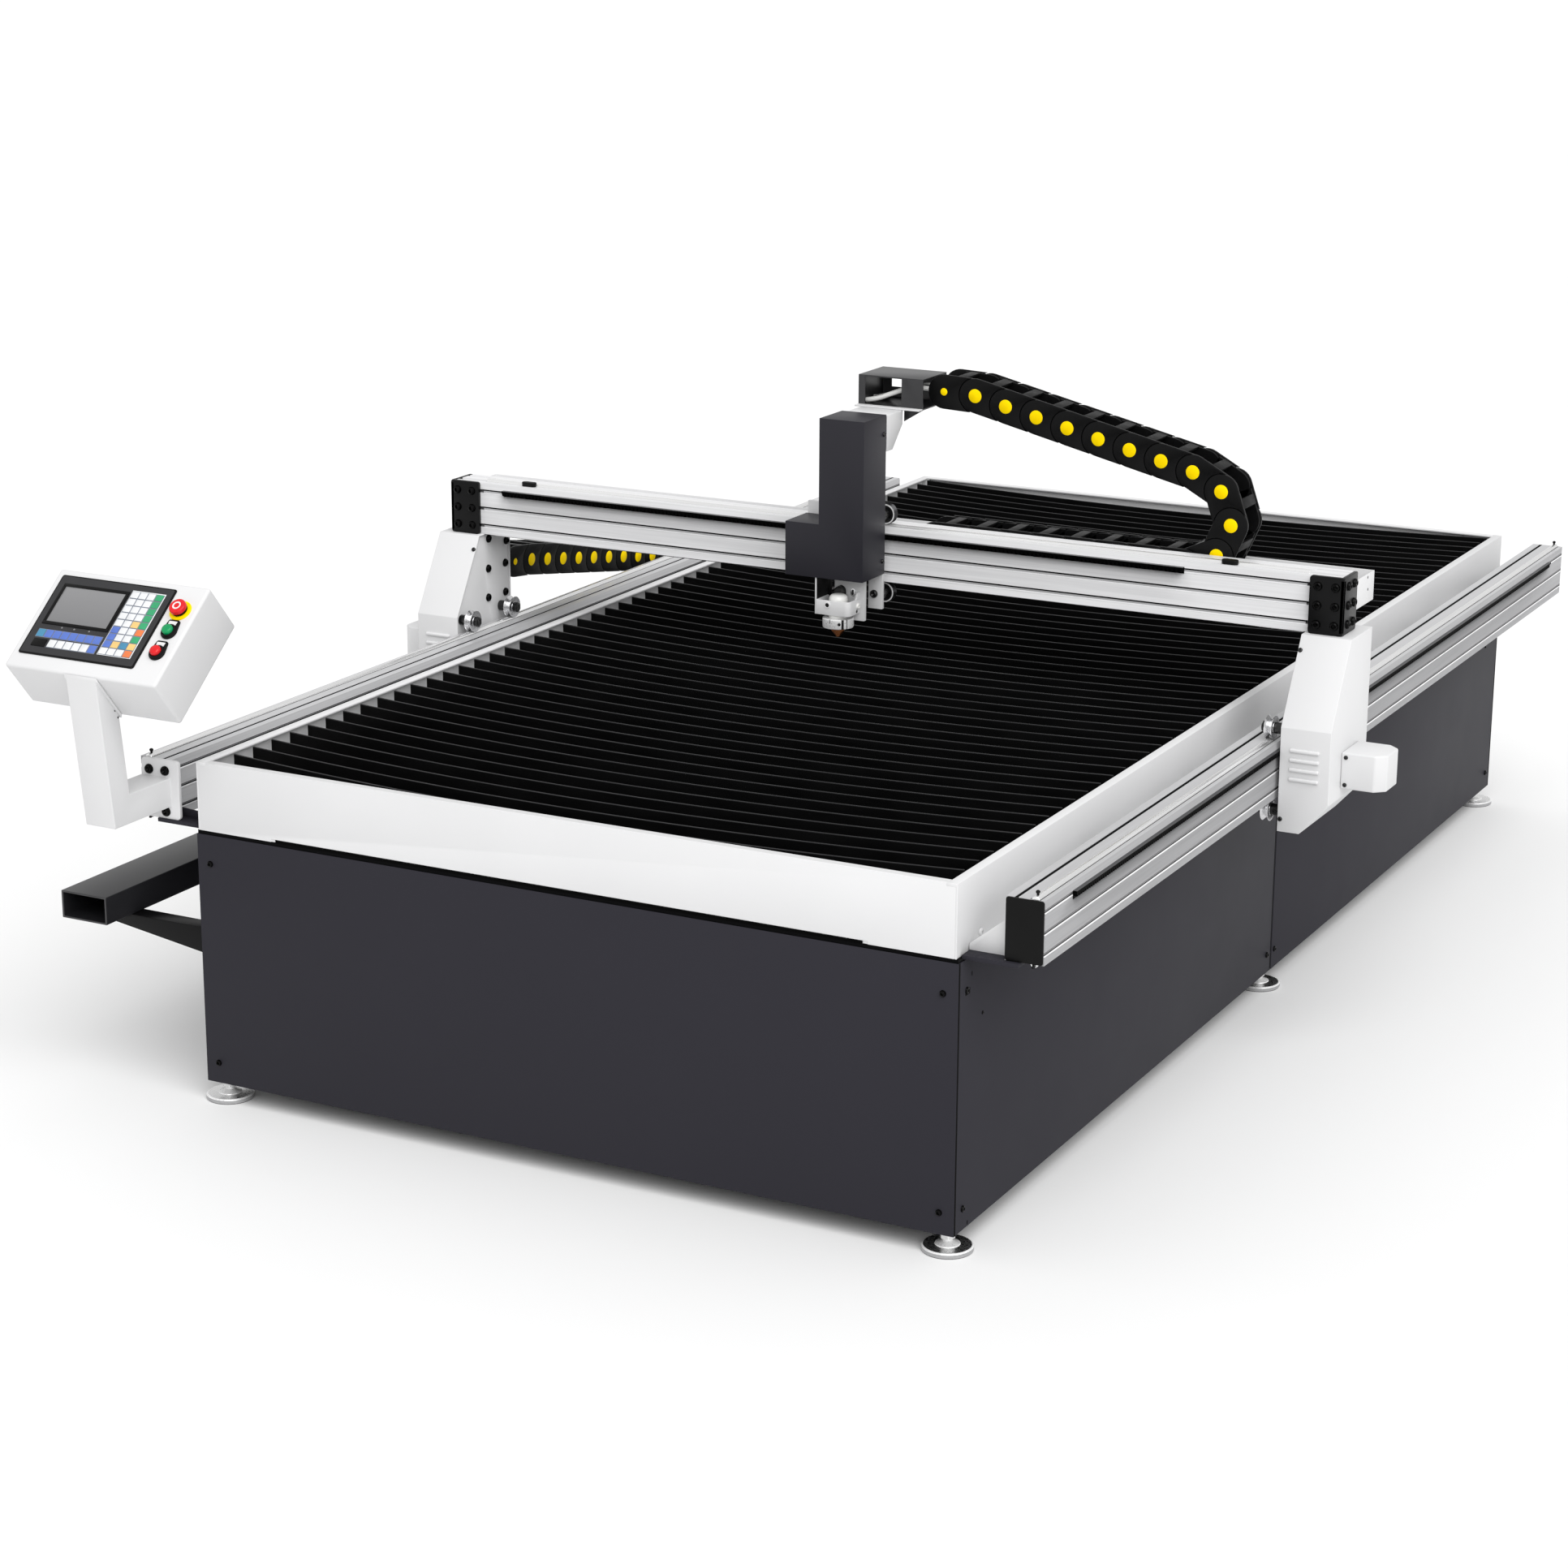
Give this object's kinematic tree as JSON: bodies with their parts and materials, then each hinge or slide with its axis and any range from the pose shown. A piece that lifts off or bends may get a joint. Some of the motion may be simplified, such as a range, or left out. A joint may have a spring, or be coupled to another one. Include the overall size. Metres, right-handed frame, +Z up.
{
  "type": "plasma cutting machine",
  "caption": "Long slatted cutting table with side rails, a rolling gantry, a cutting head with a torch on a lift, link chains and a tilted control console.",
  "frame": {"origin": "middle of the outer box on the floor", "axes": "+X across the table to the right, +Y along it from the console end to the back, +Z up"},
  "size_m": [2.38, 3.5517, 1.3536],
  "materials": {
    "panel_paint": "satin anthracite powder coat",
    "white_paint": "semi-gloss white powder coat",
    "black_paint": "satin black paint",
    "frame_paint": "dull dark primer",
    "slat_steel": "dark mill scale",
    "rail_alu": "clear anodised",
    "rod_steel": "ground bright",
    "foot_chrome": "polished",
    "rack_steel": "black oxide",
    "gear_steel": "machined",
    "bolt_steel": "black oxide",
    "black_plastic": "fine texture",
    "stop_rubber": "dull",
    "motor_black": "dull black",
    "bezel_dark": "satin film",
    "screen_grey": "unlit screen",
    "key_film": "printed-free film keys",
    "yellow_plastic": "satin",
    "red_plastic": "gloss",
    "green_plastic": "gloss",
    "torch_white": "satin",
    "ring_steel": "turned",
    "copper": "bright copper",
    "hose_black": "dull"
  },
  "bodies": {
    "table": {"base_frame": "frame_paint", "end_panels": "panel_paint", "side_panels": "panel_paint", "levelling_feet": "foot_chrome", "tray_frame": "white_paint", "cutting_slats": "slat_steel", "side_rails": "rail_alu", "rail_guide_rods": "rod_steel", "y_racks": "rack_steel", "rail_end_caps": "black_plastic", "side_brackets": "black_paint", "chain_tube": "black_paint", "console_housing": "white_paint", "control_bezel": "bezel_dark", "display_screen": "screen_grey", "keypad_keys": "key_film", "estop_plate": "yellow_plastic", "button_bases": "black_plastic", "console_arm": "white_paint"},
    "gantry": {"gantry_beam": "rail_alu", "beam_guide_rods": "rod_steel", "beam_end_brackets": "black_paint", "gantry_bolts": "bolt_steel", "x_rack": "rack_steel", "beam_stops": "stop_rubber", "leg_plates": "white_paint", "leg_covers": "white_paint", "motor_covers": "white_paint", "y_motors": "motor_black", "roller_axles": "bolt_steel", "x_chain_tray": "white_paint", "y_chain": "black_plastic"},
    "carriage": {"carriage_plate": "white_paint", "carriage_axles": "bolt_steel", "x_motor": "motor_black", "head_cover": "panel_paint", "lifter_frame": "rod_steel", "chain_arm": "white_paint", "chain_bracket": "black_paint", "x_chain": "black_plastic"},
    "torch": {"torch_slide": "white_paint", "torch_clamp": "white_paint", "torch_body": "torch_white", "torch_ring": "ring_steel", "torch_nozzle": "copper", "torch_lead": "hose_black"},
    "y_drive_pinions": {"y_pinions": "gear_steel"},
    "x_drive_pinion": {"x_pinion": "gear_steel"},
    "lift_screw": {"lifter_screw": "gear_steel"},
    "rollers_upper_front": {"upper_front_rollers": "gear_steel"},
    "rollers_upper_rear": {"upper_rear_rollers": "gear_steel"},
    "rollers_lower_front": {"lower_front_rollers": "gear_steel"},
    "rollers_lower_rear": {"lower_rear_rollers": "gear_steel"},
    "roller_head_upper_left": {"carriage_upper_left_roller": "gear_steel"},
    "roller_head_upper_right": {"carriage_upper_right_roller": "gear_steel"},
    "roller_head_lower_left": {"carriage_lower_left_roller": "gear_steel"},
    "roller_head_lower_right": {"carriage_lower_right_roller": "gear_steel"},
    "estop": {"estop_cap": "red_plastic"},
    "green_push": {"green_button": "green_plastic"},
    "red_push": {"red_button": "red_plastic"}
  },
  "joints": [
    {"name": "gantry_travel", "type": "slide", "parent": "table", "child": "gantry", "axis": [0, 1, 0], "range_m": [-1.1, 1.875], "deforming": ["y_chain"]},
    {"name": "carriage_travel", "type": "slide", "parent": "gantry", "child": "carriage", "axis": [1, 0, 0], "range_m": [-0.735, 0.74], "deforming": ["x_chain"]},
    {"name": "torch_lift", "type": "slide", "parent": "carriage", "child": "torch", "axis": [0, 0, 1], "range_m": [-0.085, 0.015]},
    {"name": "y_pinion_turn", "type": "hinge", "parent": "gantry", "child": "y_drive_pinions", "pos_m": [0, -0.255, 0.644], "axis": [1, 0, 0], "continuous": true},
    {"name": "x_pinion_turn", "type": "hinge", "parent": "carriage", "child": "x_drive_pinion", "pos_m": [-0.097, -0.267, 0.98], "axis": [0, 1, 0], "continuous": true},
    {"name": "lift_screw_turn", "type": "hinge", "parent": "carriage", "child": "lift_screw", "pos_m": [-0.004, -0.314, 1.087], "axis": [0, 0, 1], "continuous": true},
    {"name": "upper_front_roll", "type": "hinge", "parent": "gantry", "child": "rollers_upper_front", "pos_m": [0, -0.356, 0.7233], "axis": [1, 0, 0], "continuous": true},
    {"name": "upper_rear_roll", "type": "hinge", "parent": "gantry", "child": "rollers_upper_rear", "pos_m": [0, -0.188, 0.7233], "axis": [1, 0, 0], "continuous": true},
    {"name": "lower_front_roll", "type": "hinge", "parent": "gantry", "child": "rollers_lower_front", "pos_m": [0, -0.356, 0.5507], "axis": [1, 0, 0], "continuous": true},
    {"name": "lower_rear_roll", "type": "hinge", "parent": "gantry", "child": "rollers_lower_rear", "pos_m": [0, -0.188, 0.5507], "axis": [1, 0, 0], "continuous": true},
    {"name": "head_upper_left_roll", "type": "hinge", "parent": "carriage", "child": "roller_head_upper_left", "pos_m": [-0.092, -0.237, 1.0518], "axis": [0, 1, 0], "continuous": true},
    {"name": "head_upper_right_roll", "type": "hinge", "parent": "carriage", "child": "roller_head_upper_right", "pos_m": [0.028, -0.237, 1.0518], "axis": [0, 1, 0], "continuous": true},
    {"name": "head_lower_left_roll", "type": "hinge", "parent": "carriage", "child": "roller_head_lower_left", "pos_m": [-0.092, -0.237, 0.8792], "axis": [0, 1, 0], "continuous": true},
    {"name": "head_lower_right_roll", "type": "hinge", "parent": "carriage", "child": "roller_head_lower_right", "pos_m": [0.028, -0.237, 0.8792], "axis": [0, 1, 0], "continuous": true},
    {"name": "estop_press", "type": "slide", "parent": "table", "child": "estop", "axis": [0, 0.6388, -0.7694], "range_m": [0, 0.006]},
    {"name": "green_press", "type": "slide", "parent": "table", "child": "green_push", "axis": [0, 0.6388, -0.7694], "range_m": [0, 0.004], "stiffness_N_per_m": 900},
    {"name": "red_press", "type": "slide", "parent": "table", "child": "red_push", "axis": [0, 0.6388, -0.7694], "range_m": [0, 0.004], "stiffness_N_per_m": 900}
  ],
  "couplings": [
    {"joint": "y_pinion_turn", "follows": "gantry_travel", "rad_per_m": 33.333},
    {"joint": "x_pinion_turn", "follows": "carriage_travel", "rad_per_m": -41.667},
    {"joint": "lift_screw_turn", "follows": "torch_lift", "rad_per_m": -628.32},
    {"joint": "upper_front_roll", "follows": "gantry_travel", "rad_per_m": -44.163},
    {"joint": "upper_rear_roll", "follows": "gantry_travel", "rad_per_m": -44.163},
    {"joint": "lower_front_roll", "follows": "gantry_travel", "rad_per_m": 44.163},
    {"joint": "lower_rear_roll", "follows": "gantry_travel", "rad_per_m": 44.163},
    {"joint": "head_upper_left_roll", "follows": "carriage_travel", "rad_per_m": 44.163},
    {"joint": "head_upper_right_roll", "follows": "carriage_travel", "rad_per_m": 44.163},
    {"joint": "head_lower_left_roll", "follows": "carriage_travel", "rad_per_m": -44.163},
    {"joint": "head_lower_right_roll", "follows": "carriage_travel", "rad_per_m": -44.163}
  ]
}
